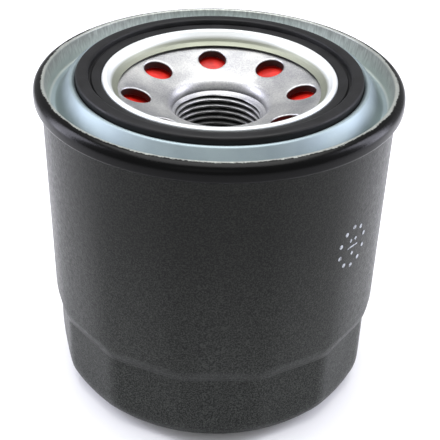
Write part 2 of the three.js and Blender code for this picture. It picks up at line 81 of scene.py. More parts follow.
def makeCamera():
    pan, tilt, roll = (math.radians(view[k]) for k in ("pan", "tilt", "roll"))
    forward = Vector((math.sin(pan) * math.cos(tilt), math.cos(pan) * math.cos(tilt), -math.sin(tilt)))
    level = forward.cross(Vector((0, 0, 1))).normalized()
    upright = level.cross(forward)
    right = math.cos(roll) * level + math.sin(roll) * upright
    up = math.cos(roll) * upright - math.sin(roll) * level
    data = bpy.data.cameras.new("camera")
    data.lens = view["lens"]
    data.sensor_width = view["sensor"]
    camera = bpy.data.objects.new("camera", data)
    turnTo = Matrix((right, up, -forward)).transposed().to_4x4()
    camera.matrix_world = Matrix.Translation((0, -view["distanceBack"] * mm, view["height"] * mm)) @ turnTo
    scene.collection.objects.link(camera)
    scene.camera = camera


makeCamera()
print("camera placed")


def roundedPath(corners, stepDegrees=12, closest=0.005):
    # Corners are (radius, height) or (radius, height, fillet); a fillet becomes an arc.
    path = []
    for i, corner in enumerate(corners):
        here = Vector(corner[:2])
        fillet = corner[2] if len(corner) > 2 else 0
        if not fillet or i in (0, len(corners) - 1):
            path.append(here)
            continue
        before = (Vector(corners[i - 1][:2]) - here).normalized()
        after = (Vector(corners[i + 1][:2]) - here).normalized()
        half = math.acos(max(-1, min(1, before.dot(after)))) / 2
        centre = here + (before + after).normalized() * fillet / math.sin(half)
        spoke = here + before * fillet / math.tan(half) - centre
        side = math.copysign(1, before.y * after.x - before.x * after.y)
        turn = math.pi - 2 * half
        steps = max(2, math.ceil(math.degrees(turn) / stepDegrees))
        for k in range(steps + 1):
            angle = side * turn * k / steps
            c, s = math.cos(angle), math.sin(angle)
            path.append(centre + Vector((spoke.x * c - spoke.y * s, spoke.x * s + spoke.y * c)))
    return [p for i, p in enumerate(path) if i == 0 or (p - path[i - 1]).length > closest]


def offsetPath(path, distance):
    moved = []
    for i, point in enumerate(path):
        into = point - path[max(i - 1, 0)]
        out = path[min(i + 1, len(path) - 1)] - point
        into = into if into.length else out
        out = out if out.length else into
        a = Vector((-into.y, into.x)).normalized()
        b = Vector((-out.y, out.x)).normalized()
        mitre = (a + b).normalized()
        moved.append(point + mitre * distance / mitre.dot(a))
    return moved


def sheetSection(path, thickness):
    # A sheet's centre line thickened to both sides, as one closed outline.
    return offsetPath(path, thickness / 2) + offsetPath(path, -thickness / 2)[::-1]


# In millimetres: points closer than the first are one point, and edges shorter than the second go.
weldReach, collapseReach = 0.0002, 0.00001


def finishMesh(name, shape, body, material, sharpAngle=38):
    # Welds the mesh, turns its faces out, shades it smooth and gives it to a body.
    bmesh.ops.remove_doubles(shape, verts=shape.verts, dist=weldReach * mm)
    bmesh.ops.dissolve_degenerate(shape, edges=shape.edges, dist=collapseReach * mm)
    bmesh.ops.recalc_face_normals(shape, faces=shape.faces)
    mesh = bpy.data.meshes.new(name)
    shape.to_mesh(mesh)
    shape.free()
    mesh.shade_smooth()
    mesh.set_sharp_from_angle(angle=math.radians(sharpAngle))
    mesh.materials.append(material)
    piece = bpy.data.objects.new(name, mesh)
    scene.collection.objects.link(piece)
    if body:
        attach(piece, body)
    return piece


def addGrid(shape, rows, closedAcross=True, closedAlong=False):
    # rows of points in millimetres; neighbouring points of neighbouring rows make quads.
    made = [[shape.verts.new(Vector(p) * mm) for p in row] for row in rows]
    count = len(rows[0])
    pairs = list(zip(made, made[1:]))
    if closedAlong:
        pairs.append((made[-1], made[0]))
    for lower, upper in pairs:
        for i in range(count if closedAcross else count - 1):
            j = (i + 1) % count
            shape.faces.new((lower[i], lower[j], upper[j], upper[i]))
    return made


def turned(outline, steps, closed=True, reshape=None, start=0.0):
    # An outline of (radius, height) turned about the filter's axis. An open outline starts and ends on it.
    shape = bmesh.new()
    rows = []
    for index, (radius, height) in enumerate(outline):
        row = []
        for i in range(steps):
            angle = start + 2 * math.pi * i / steps
            r = reshape(radius, height, angle, index) if reshape else radius
            row.append((r * math.cos(angle), r * math.sin(angle), height))
        rows.append(row)
    addGrid(shape, rows, closedAlong=closed)
    return shape


def toLinear(hexColour):
    values = [int(hexColour[i:i + 2], 16) / 255 for i in (1, 3, 5)]
    return tuple(v / 12.92 if v <= 0.04045 else ((v + 0.055) / 1.055) ** 2.4 for v in values) + (1.0,)


def setInputs(tree, node, inputs):
    # Inputs are numbers, vectors, hex colours or the sockets of other nodes.
    for key, value in inputs.items():
        if isinstance(value, bpy.types.NodeSocket):
            tree.links.new(value, node.inputs[key])
        else:
            node.inputs[key].default_value = toLinear(value) if isinstance(value, str) else value


def addNode(tree, kind, inputs, settings=None, output=0):
    node = tree.nodes.new("ShaderNode" + kind)
    for key, value in (settings or {}).items():
        setattr(node, key, value)
    setInputs(tree, node, inputs)
    return node.outputs[output]


def startMaterial(name):
    material = bpy.data.materials.new(name)
    material.use_nodes = True
    tree = material.node_tree
    place = addNode(tree, "TexCoord", {}, output="Object")
    return material, tree, tree.nodes["Principled BSDF"], place


def perMetre(sizeMm):
    # Texture scale for a pattern whose features are this size.
    return 1 / (sizeMm * mm)


def radiusAndLevel(tree, place):
    # Distance from the filter's axis and height above its closed end, in millimetres.
    inMm = addNode(tree, "VectorMath", {0: place, "Scale": 1 / mm}, {"operation": "SCALE"})
    flat = addNode(tree, "VectorMath", {0: inMm, 1: (1.0, 1.0, 0.0)}, {"operation": "MULTIPLY"})
    radius = addNode(tree, "VectorMath", {0: flat}, {"operation": "LENGTH"}, "Value")
    return radius, addNode(tree, "SeparateXYZ", {"Vector": inMm}, output="Z")


# Settings that many nodes share.
colourMix = {"data_type": "RGBA"}
multiplyAdd = {"operation": "MULTIPLY_ADD"}
product = {"operation": "MULTIPLY"}
larger = {"operation": "MAXIMUM"}


def mottled(tree, shader, pattern, grain, look, colourPattern=None):
    # Colour and roughness follow a soft pattern, and a finer grain lifts the surface.
    low, high = look["spread"]
    smooth, rough = look["roughness"]
    share = addNode(tree, "MapRange", {"Value": colourPattern or pattern, "From Min": low, "From Max": high})
    colour = addNode(tree, "Mix", {0: share, 6: look["deep"], 7: look["colour"]}, colourMix, 2)
    sheen = {"Value": pattern, "From Min": 0.3, "From Max": 0.7, "To Min": smooth, "To Max": rough}
    roughness = addNode(tree, "MapRange", sheen)
    normal = addNode(tree, "Bump", {"Height": grain, "Strength": 1.0, "Distance": look["bumpMm"] * mm})
    setInputs(tree, shader, {"Base Color": colour, "Roughness": roughness, "Normal": normal})


enamel = dict(deep="#050604", pale="#20221d", floorReflectionTone="#3e413d", grainMm=0.3, peelMm=0.9, peelShare=0.6,
              unreflectedLevel=55.0, reflectedLevel=8.0, grainSpread=(0.42, 0.66), roughness=(0.3, 0.42), bumpMm=0.04)


def blackEnamel():
    # Sprayed and stoved black enamel: a semi-gloss skin whose fine grain breaks up what it reflects, with a
    # painted reflection of the pale floor that lightens it towards the closed end.
    material, tree, shader, place = startMaterial("black_stoved_enamel")
    grain = addNode(tree, "TexNoise", {"Vector": place, "Scale": perMetre(enamel["grainMm"]), "Detail": 3.0})
    peel = addNode(tree, "TexNoise", {"Vector": place, "Scale": perMetre(enamel["peelMm"]), "Detail": 2.0})
    level = radiusAndLevel(tree, place)[1]
    # Painted reflection of the floor: the enamel is lightened from the seam level down towards the closed
    # end.
    floorReflection = addNode(tree, "MapRange", {"Value": level, "From Min": enamel["unreflectedLevel"],
                                      "From Max": enamel["reflectedLevel"]})
    pale = addNode(tree, "Mix", {0: floorReflection, 6: enamel["pale"], 7: enamel["floorReflectionTone"]}, colourMix, 2)
    height = addNode(tree, "Math", {0: peel, 1: enamel["peelShare"], 2: grain}, multiplyAdd)
    look = {**enamel, "colour": pale, "spread": enamel["grainSpread"]}
    mottled(tree, shader, peel, height, look, grain)
    setInputs(tree, shader, {"IOR": 1.5, "Specular IOR Level": 0.14})
    return material


# Painted light by radius: a painted highlight on the bead, painted shade on its foot where the lid meets the
# plate, and the outer countersink wall lightened as a painted reflection. A band is the radius where its tone
# starts, the radius where it is full, and the tone.
lidFinish = dict(zinc="#98a5a8", zincDark="#88959a", paint="#040404", cloudMm=9.0, patchMm=7.0, speckMm=0.35,
                 paintedLightBands=((26.0, 25.2, "#e4e7e6"), (23.7, 23.2, "#8d9082"), (36.3, 36.9, "#c9cdc6")),
                 paintEdge=38.1, paintFade=0.12, speckShare=0.9, sprayTop=74.5, sprayFade=1.5,
                 sprayCover=0.5, sprayInner=(36.6, 37.1), streakMm=0.5, streakReach=6.0, patchReach=1.6,
                 sideReach=1 / 30, roughness=(0.5, 0.6), paintGloss=0.3, bumpMm=0.03)


def sprayedZincPlate():
    # Bright zinc-plated sheet with black enamel on its outer seam and dry overspray down the
    # countersink, which gives a ragged dark edge and streaks over silver.
    f = lidFinish
    material, tree, shader, place = startMaterial("zinc_plate_with_overspray")
    upright = addNode(tree, "Mapping", {"Vector": place, "Scale": (1.0, 1.0, 0.16)})
    cloud = addNode(tree, "TexNoise", {"Vector": place, "Scale": perMetre(f["cloudMm"]), "Detail": 4.0})
    streak = addNode(tree, "TexNoise", {"Vector": upright, "Scale": perMetre(f["streakMm"]), "Detail": 3.0})
    patch = addNode(tree, "TexNoise", {"Vector": place, "Scale": perMetre(f["patchMm"]), "Detail": 2.0})
    speck = addNode(tree, "TexNoise", {"Vector": place, "Scale": perMetre(f["speckMm"]), "Detail": 2.0})
    radius, level = radiusAndLevel(tree, place)

    # The coat of paint ends raggedly at a radius: both noises hover round a half.
    ragged = addNode(tree, "Math", {0: speck, 1: f["speckShare"], 2: patch}, multiplyAdd)
    ragged = addNode(tree, "Math", {0: radius, 1: ragged}, {"operation": "ADD"})
    edge = f["paintEdge"] + (1 + f["speckShare"]) / 2
    coat = addNode(tree, "MapRange", {"Value": ragged, "From Min": edge - f["paintFade"],
                                      "From Max": edge + f["paintFade"]})

    # Overspray thins downwards, in streaks, and reaches lower towards two sides.
    across = addNode(tree, "SeparateXYZ", {"Vector": place}, output="X")
    across = addNode(tree, "Math", {0: across}, {"operation": "ABSOLUTE"})
    lifted = level
    for value, reach in ((across, f["sideReach"] / mm), (patch, f["patchReach"]), (streak, f["streakReach"])):
        lifted = addNode(tree, "Math", {0: value, 1: reach, 2: lifted}, multiplyAdd)
    top = f["sprayTop"] + f["streakReach"] / 2
    spray = addNode(tree, "MapRange", {"Value": lifted, "From Min": top - f["sprayFade"],
                                       "From Max": top + f["sprayFade"], "To Max": f["sprayCover"]})
    inner, outer = f["sprayInner"]
    onWall = addNode(tree, "MapRange", {"Value": radius, "From Min": inner, "From Max": outer})
    spray = addNode(tree, "Math", {0: spray, 1: onWall}, product)
    mask = addNode(tree, "Math", {0: coat, 1: spray}, larger)

    share = addNode(tree, "MapRange", {"Value": cloud, "From Min": 0.3, "From Max": 0.7})
    zinc = addNode(tree, "Mix", {0: share, 6: f["zincDark"], 7: f["zinc"]}, colourMix, 2)
    # Painted highlight, painted shade and painted reflection laid over the zinc, band by band.
    for start, full, tone in f["paintedLightBands"]:
        band = addNode(tree, "MapRange", {"Value": radius, "From Min": start, "From Max": full})
        zinc = addNode(tree, "Mix", {0: band, 6: zinc, 7: tone}, colourMix, 2)
    colour = addNode(tree, "Mix", {0: mask, 6: zinc, 7: f["paint"]}, colourMix, 2)
    metal = addNode(tree, "Math", {0: 1.0, 1: mask}, {"operation": "SUBTRACT"})
    smooth, rough = f["roughness"]
    bare = addNode(tree, "MapRange", {"Value": cloud, "From Min": 0.3, "From Max": 0.7, "To Min": smooth,
                                      "To Max": rough})
    roughness = addNode(tree, "Math", {0: mask, 1: -f["paintGloss"], 2: bare}, multiplyAdd)
    thick = addNode(tree, "Math", {0: mask, 1: 0.8}, product)
    height = addNode(tree, "Math", {0: speck, 1: 0.5, 2: thick}, multiplyAdd)
    normal = addNode(tree, "Bump", {"Height": height, "Strength": 1.0, "Distance": f["bumpMm"] * mm})
    setInputs(tree, shader, {"Base Color": colour, "Metallic": metal, "Roughness": roughness,
                             "Normal": normal, "Specular IOR Level": 0.12})
    return material


rubber = dict(deep="#080809", colour="#161618", spread=(0.4, 0.75), roughness=(0.42, 0.6), swirlMm=5.0,
              poreMm=0.4, bumpMm=0.015)


def nitrileRubber():
    # Moulded nitrile rubber: near black, satin, with a faint grey bloom from handling.
    material, tree, shader, place = startMaterial("moulded_nitrile_rubber")
    swirl = addNode(tree, "TexNoise", {"Vector": place, "Scale": perMetre(rubber["swirlMm"]), "Detail": 5.0,
                                       "Roughness": 0.6})
    pores = addNode(tree, "TexNoise", {"Vector": place, "Scale": perMetre(rubber["poreMm"]), "Detail": 2.0})
    mottled(tree, shader, swirl, pores, rubber)
    setInputs(tree, shader, {"IOR": 1.52, "Specular IOR Level": 0.22})
    return material


def cloudedSteel(name, look):
    # Shared by the thin steels: clouded metal whose roughness follows the clouds.
    material, tree, shader, place = startMaterial(name)
    drawn = addNode(tree, "Mapping", {"Vector": place, "Scale": look["stretch"]})
    cloud = addNode(tree, "TexNoise", {"Vector": place, "Scale": perMetre(look["cloudMm"]), "Detail": 5.0,
                                       "Roughness": 0.6})
    grain = addNode(tree, "TexNoise", {"Vector": drawn, "Scale": perMetre(look["grainMm"]), "Detail": 3.0})
    share = addNode(tree, "Mix", {0: look["grainShare"], 2: cloud, 3: grain})
    mottled(tree, shader, cloud, grain, look, share)
    setInputs(tree, shader, {"Metallic": 1.0})
    return material


plateFinish = dict(bright="#bebebc", dull="#9b9b9f", root="#141412", holeWallShade="#2b1512", cloudMm=6.0,
                   speckMm=0.35, spread=(0.38, 0.62), roughness=(0.4, 0.52), shadeMetallic=0.3, bumpMm=0.012,
                   threadTop=65.0, rootStart=9.3, rootFull=9.75, boreOuter=11.5, holesInner=14.2)


def satinPlate():
    # Pressed steel plate with a thin satin plating: pale grey with fine specks and soft reflections.
    # Painted shade darkens the thread's roots and the deep bore, and the steep walls of the inlet holes carry
    # painted shade with a painted red reflection of the valve below.
    f = plateFinish
    material, tree, shader, place = startMaterial("satin_plated_pressed_steel")
    cloud = addNode(tree, "TexNoise", {"Vector": place, "Scale": perMetre(f["cloudMm"]), "Detail": 4.0})
    speck = addNode(tree, "TexNoise", {"Vector": place, "Scale": perMetre(f["speckMm"]), "Detail": 3.0})
    share = addNode(tree, "Mix", {0: 0.5, 2: cloud, 3: speck})
    low, high = f["spread"]
    share = addNode(tree, "MapRange", {"Value": share, "From Min": low, "From Max": high})
    metal = addNode(tree, "Mix", {0: share, 6: f["dull"], 7: f["bright"]}, colourMix, 2)

    # Painted shade darkens the thread by its radius, more so deep in the bore, and stops at the bore's mouth.
    radius, level = radiusAndLevel(tree, place)
    top = f["threadTop"]
    inRoot = {"Value": radius, "From Min": f["rootStart"], "From Max": f["rootFull"]}
    inRoot = addNode(tree, "MapRange", inRoot)
    deep = addNode(tree, "MapRange", {"Value": level, "From Min": top - 3.0, "From Max": top - 9.0})
    inBore = addNode(tree, "MapRange", {"Value": level, "From Min": top, "From Max": top - 0.8})
    inside = {"Value": radius, "From Min": f["boreOuter"], "From Max": f["boreOuter"] - 0.5}
    inside = addNode(tree, "MapRange", inside)
    root = addNode(tree, "Math", {0: inRoot, 1: deep}, larger)
    root = addNode(tree, "Math", {0: root, 1: inBore}, product)
    root = addNode(tree, "Math", {0: root, 1: inside}, product)

    # Painted shade with a painted red reflection of the valve on steep faces outside the holes' inner circle:
    # the walls of the inlet holes and the plate's rim.
    facing = addNode(tree, "NewGeometry", {}, output="Normal")
    facing = addNode(tree, "SeparateXYZ", {"Vector": facing}, output="Z")
    facing = addNode(tree, "Math", {0: facing}, {"operation": "ABSOLUTE"})
    steep = addNode(tree, "MapRange", {"Value": facing, "From Min": 0.45, "From Max": 0.25})
    beyond = {"Value": radius, "From Min": f["holesInner"], "From Max": f["holesInner"] + 0.4}
    beyond = addNode(tree, "MapRange", beyond)
    holeShadeMask = addNode(tree, "Math", {0: steep, 1: beyond}, product)

    metal = addNode(tree, "Mix", {0: holeShadeMask, 6: metal, 7: f["holeWallShade"]}, colourMix, 2)
    colour = addNode(tree, "Mix", {0: root, 6: metal, 7: f["root"]}, colourMix, 2)
    smooth, rough = f["roughness"]
    roughness = addNode(tree, "MapRange", {"Value": cloud, "From Min": 0.3, "From Max": 0.7,
                                           "To Min": smooth, "To Max": rough})
    # Where painted shade lies, the metal also turns towards a dark dielectric.
    paintedShade = addNode(tree, "Math", {0: root, 1: holeShadeMask}, larger)
    metallic = addNode(tree, "MapRange", {"Value": paintedShade, "To Min": 1.0, "To Max": f["shadeMetallic"]})
    normal = addNode(tree, "Bump", {"Height": speck, "Strength": 1.0, "Distance": f["bumpMm"] * mm})
    setInputs(tree, shader, {"Base Color": colour, "Roughness": roughness, "Metallic": metallic,
                             "Normal": normal})
    return material


tinFinish = dict(colour="#c9cbc8", deep="#a3a5a2", spread=(0.35, 0.65), roughness=(0.25, 0.4), cloudMm=5.0,
                 grainMm=0.3, grainShare=0.3, stretch=(1.0, 1.0, 0.1), bumpMm=0.008)


def tinPlate():
    # Rolled tinplate: bright grey with fine rolling lines.
    return cloudedSteel("rolled_tinplate", tinFinish)


springFinish = dict(colour="#8f9294", deep="#5f6264", spread=(0.35, 0.65), roughness=(0.25, 0.4),
                    cloudMm=3.0, grainMm=0.3, grainShare=0.3, stretch=(1.0, 1.0, 1.0), bumpMm=0.008)


def springSteel():
    # Oil-tempered spring steel: darker and smooth, with a fine grain.
    return cloudedSteel("oil_tempered_spring_steel", springFinish)


silicone = dict(colour="#e02418", deep="#b8170d", spread=(0.35, 0.65), roughness=(0.38, 0.5), cloudMm=3.0,
                poreMm=0.3, bumpMm=0.01)


def redSilicone():
    # Moulded silicone rubber: saturated red, satin, with a slight glow where light passes in.
    material, tree, shader, place = startMaterial("moulded_red_silicone")
    cloud = addNode(tree, "TexNoise", {"Vector": place, "Scale": perMetre(silicone["cloudMm"]),
                                       "Detail": 3.0})
    pores = addNode(tree, "TexNoise", {"Vector": place, "Scale": perMetre(silicone["poreMm"]),
                                       "Detail": 2.0})
    mottled(tree, shader, cloud, pores, silicone)
    setInputs(tree, shader, {"IOR": 1.43, "Subsurface Weight": 0.15, "Subsurface Radius": (1.0, 0.25, 0.1),
                             "Subsurface Scale": 0.5 * mm})
    return material


paperFinish = dict(colour="#d9bd86", deep="#b8965a", blotch="#c8a468", blotchCover=0.35, blotchMm=6.0,
                   fibreMm=0.5, spread=(0.35, 0.65), roughness=(0.8, 0.95), bumpMm=0.05)


def filterPaper():
    # Resin-treated cellulose paper: matt tan with crossing fibres and faint blotches.
    f = paperFinish
    material, tree, shader, place = startMaterial("resin_treated_cellulose_paper")
    lying = addNode(tree, "Mapping", {"Vector": place, "Scale": (1.0, 1.0, 0.3)})
    fibres = addNode(tree, "TexNoise", {"Vector": lying, "Scale": perMetre(f["fibreMm"]), "Detail": 6.0,
                                        "Roughness": 0.7})
    blotch = addNode(tree, "TexNoise", {"Vector": place, "Scale": perMetre(f["blotchMm"]), "Detail": 3.0})
    cover = addNode(tree, "MapRange", {"Value": blotch, "From Min": 0.3, "From Max": 0.7,
                                       "To Max": f["blotchCover"]})
    tones = {end: addNode(tree, "Mix", {0: cover, 6: f[end], 7: f["blotch"]}, colourMix, 2)
             for end in ("colour", "deep")}
    mottled(tree, shader, fibres, fibres, {**f, **tones})
    return material


def curedPaste(name, look):
    # Poured or lined paste that has set: matt, a little uneven.
    material, tree, shader, place = startMaterial(name)
    lump = addNode(tree, "TexNoise", {"Vector": place, "Scale": perMetre(look["lumpMm"]), "Detail": 4.0})
    mottled(tree, shader, lump, lump, look)
    return material


adhesiveFinish = dict(colour="#8f9491", deep="#6f7472", spread=(0.35, 0.65), roughness=(0.5, 0.7), lumpMm=2.5,
                      bumpMm=0.06)
compoundFinish = dict(colour="#c6b488", deep="#a89566", spread=(0.35, 0.65), roughness=(0.65, 0.85),
                      lumpMm=2.5, bumpMm=0.06)
inkFinish = dict(colour="#a9adb3", deep="#55575a", spread=(0.38, 0.52), roughness=(0.45, 0.65), patchMm=0.5,
                 bumpMm=0.01)


def stampInk():
    # Pad-printed ink: pale grey, thin, with pinholes where the black shows through.
    material, tree, shader, place = startMaterial("pad_printed_grey_ink")
    patch = addNode(tree, "TexNoise", {"Vector": place, "Scale": perMetre(inkFinish["patchMm"]),
                                       "Detail": 3.0})
    mottled(tree, shader, patch, patch, inkFinish)
    return material


enamelBlack = blackEnamel()
zincLid = sprayedZincPlate()
nitrile = nitrileRubber()
plateSteel = satinPlate()
tin = tinPlate()
tempered = springSteel()
redRubber = redSilicone()
paper = filterPaper()
plastisol = curedPaste("cured_plastisol_adhesive", adhesiveFinish)
liningCompound = curedPaste("dried_seam_lining_compound", compoundFinish)
ink = stampInk()
print("materials made")


# The cup, from its closed end to the hook in the seam; the flats are pressed into its wall.
canister = dict(bottomCorner=8.2, panelRadius=20.5, panelRise=1.3, panelStep=2.2, panelBend=2.0,
                flatCount=14, flatPhase=2.8, acrossFlats=74.0, flatsTop=22.2, shoulder=2.6,
                shoulderMargin=1.6, shoulderRows=26, rowStep=0.2, pressTop=3.2, startEase=0.35,
                edgeSoftness=0.7, shoulderSoftness=1.3, hookRoom=0.15, aroundSteps=448)


def makeCanister():
    c = canister
    half = canSheet / 2
    centreWall = wallRadius - half
    hookCentre = (rimRadius + wallRadius + layerGap) / 2
    hookTurn = (hookCentre - centreWall) / 2
    hookTop = rimTop - lidSheet / 2 - seamRound + hookTurn - c["hookRoom"]
    shoulderLow = c["flatsTop"] - c["shoulder"] - c["shoulderMargin"]
    path = roundedPath([
        (0.0, c["panelRise"] + half),
        (c["panelRadius"], c["panelRise"] + half, c["panelBend"]),
        (c["panelRadius"] + c["panelStep"], half, c["panelBend"]),
        (centreWall, half, c["bottomCorner"] - half),
        *((centreWall, shoulderLow + c["rowStep"] * i) for i in range(c["shoulderRows"])),
        (centreWall, hookTop, hookTurn),
        (hookCentre, hookTop, hookTurn),
        (hookCentre, boxLevels("seam_compound")[1] + layerGap),
    ], 9)
    outline = sheetSection(path, canSheet)
    sector = 2 * math.pi / c["flatCount"]
    phase = math.radians(c["flatPhase"])

    def softMin(a, b, softness):
        # The smaller of two radii, with the corner between them rounded.
        share = max(0.0, 1 - abs(a - b) / softness)
        return min(a, b) - softness * share ** 2 / 4

    def pressFlats(radius, height, angle, index):
        if height > c["flatsTop"] + c["pressTop"] or radius < c["panelRadius"]:
            return radius
        inner = canSheet if index < len(path) else 0.0
        offCentre = (angle - phase) % sector - sector / 2
        ease = c["startEase"]
        climb = (height - (c["flatsTop"] - c["shoulder"])) / c["shoulder"]
        climb = max(0.0, climb + max(0.0, ease - abs(climb)) ** 2 / (4 * ease))
        reach = c["acrossFlats"] / 2 + climb * (wallRadius - c["acrossFlats"] / 2) - inner
        flat = reach / math.cos(offCentre)
        neighbour = reach / math.cos(sector - abs(offCentre))
        return softMin(softMin(flat, neighbour, c["edgeSoftness"]), radius, c["shoulderSoftness"])

    shape = turned(outline, c["aroundSteps"], True, pressFlats, phase)
    piece = finishMesh("canister_cup", shape, "housing", enamelBlack)
    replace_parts(piece, "canister")


makeCanister()
print("canister made")


# The lid sheet, from its hook in the seam inwards to the foot of the bead.
lid = dict(valley=4.6, seamHeight=3.8, taper=0.7, valleyWidth=1.7, ridgeRun=3.2, ridgeLip=0.6,
           ridgeLand=1.0, grooveWidth=5.6, beadRise=0.05, beadLand=0.9, beadFlare=2.2, footRise=0.8,
           footRun=0.9, footBend=0.9, hookDrop=0.3, rimRoll=0.15, rimCorner=0.2, valleyCorner=0.8,
           valleyBend=0.9, ridgeBend=0.45, grooveBend=0.4, beadBend=0.42, aroundSteps=256)
grooveFloor = plateTop + layerGap + lidSheet
countersinkRadius = wallRadius - canSheet - layerGap - lidSheet / 2
ridgeRadius = countersinkRadius - lid["taper"] - lid["valleyWidth"] - lid["ridgeRun"]
grooveOuter = ridgeRadius - lid["ridgeLand"]
grooveInner = grooveOuter - lid["grooveWidth"]


def makeLid():
    d = lid
    half = lidSheet / 2
    skirt = rimRadius - half
    hook = wallRadius + layerGap + half
    turn = (skirt - hook) / 2
    top = rimTop - half
    low = rimTop - d["seamHeight"] + half
    floor = grooveFloor - half
    valley = rimTop - d["valley"] - half
    valleyOuter = countersinkRadius - d["taper"]
    ridge = top + ridgeRise
    bead = grooveInner - half
    outline = sheetSection(roundedPath([
        (hook, top - seamRound - d["hookDrop"]),
        (hook, low, turn),
        (skirt, low, turn),
        (skirt, top, seamRound + d["rimRoll"]),
        (countersinkRadius, top, d["rimCorner"]),
        (valleyOuter, valley, d["valleyCorner"]),
        (valleyOuter - d["valleyWidth"], valley, d["valleyBend"]),
        (ridgeRadius, ridge, d["ridgeBend"]),
        (grooveOuter + half, ridge - d["ridgeLip"], d["grooveBend"]),
        (grooveOuter + half, floor, d["grooveBend"]),
        (bead, floor, d["grooveBend"]),
        (bead, top + d["beadRise"], d["beadBend"]),
        (bead - d["beadLand"], top + d["beadRise"], d["beadBend"]),
        (bead - d["beadFlare"], floor + d["footRise"], d["footBend"]),
        (bead - d["beadFlare"] - d["footRun"], floor + layerGap),
    ]), lidSheet)
    shape = turned(outline, d["aroundSteps"])
    piece = finishMesh("seaming_lid_sheet", shape, "housing", zincLid)
    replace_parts(piece, "seaming_lid")


makeLid()
print("lid made")


# The gasket: a tall outer lip, a narrow relief behind it and a low inner ledge.
gasket = dict(lipWidth=2.7, step=1.1, crownRound=0.55, crownArch=4.0, crownRise=0.05, crownFall=0.15,
              outerRound=0.6, corner=0.3, reliefDepth=0.35, reliefNear=0.05, reliefFar=0.45, reliefEnd=0.7,
              reliefRound=0.12, ledgeRound=0.25, ledgeFall=0.3, sideGap=0.12, baseGap=0.02,
              aroundSteps=256)


def makeGasket():
    g = gasket
    outer = grooveOuter - g["sideGap"]
    inner = grooveInner + g["sideGap"]
    low = grooveFloor + g["baseGap"]
    edge = outer - g["lipWidth"]
    ledge = gasketTop - g["step"]
    outline = roundedPath([
        ((inner + outer) / 2, low),
        (outer, low, g["corner"]),
        (outer, gasketTop - g["crownFall"], g["outerRound"]),
        ((outer + edge) / 2, gasketTop + g["crownRise"], g["crownArch"]),
        (edge, gasketTop - g["crownFall"], g["crownRound"]),
        (edge - g["reliefNear"], ledge - g["reliefDepth"], g["reliefRound"]),
        (edge - g["reliefFar"], ledge - g["reliefDepth"], g["reliefRound"]),
        (edge - g["reliefEnd"], ledge, g["ledgeRound"]),
        (inner, ledge - g["ledgeFall"], g["corner"]),
        (inner, low, g["corner"]),
    ], 15)
    outline = [Vector((p.x, min(p.y, gasketTop))) for p in outline]
    shape = turned(outline, g["aroundSteps"])
    piece = finishMesh("gasket_ring", shape, "housing", nitrile, 60)
    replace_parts(piece, "sealing_gasket")


makeGasket()
print("gasket made")


# The threaded plate. crestFlat and flankRun are shares of the thread's pitch; holePhase is in degrees.
plate = dict(sheet=1.8, outer=32.7, dish=2.6, dishBend=3.0, dishLand=1.2, edge=0.2, mouthRoll=2.8,
             underRoll=2.0, mouthEdge=10.4, mouthLip=0.02, collarWall=1.9, collarEdge=0.3,
             threadRadius=10.0, threadDepth=0.81, pitch=1.5, threads=6, crestFlat=1 / 16, flankRun=5 / 16,
             boreRelief=0.3, chamferSlope=1.3, levelsPerTurn=14, holes=8, holeRadius=3.2,
             holeCircle=18.2, holePhase=6.0, holeRound=0.35, burr=0.15, webOutside=0.6, webInside=1.0,
             arcSteps=16, sideSteps=6)
dishOuter = plate["holeCircle"] + plate["holeRadius"] + plate["dishLand"]
dishSlope = plate["dish"] / (dishOuter - plate["mouthEdge"] - plate["mouthRoll"])


def dishAt(radius):
    return plateTop - dishSlope * max(0.0, dishOuter - radius)


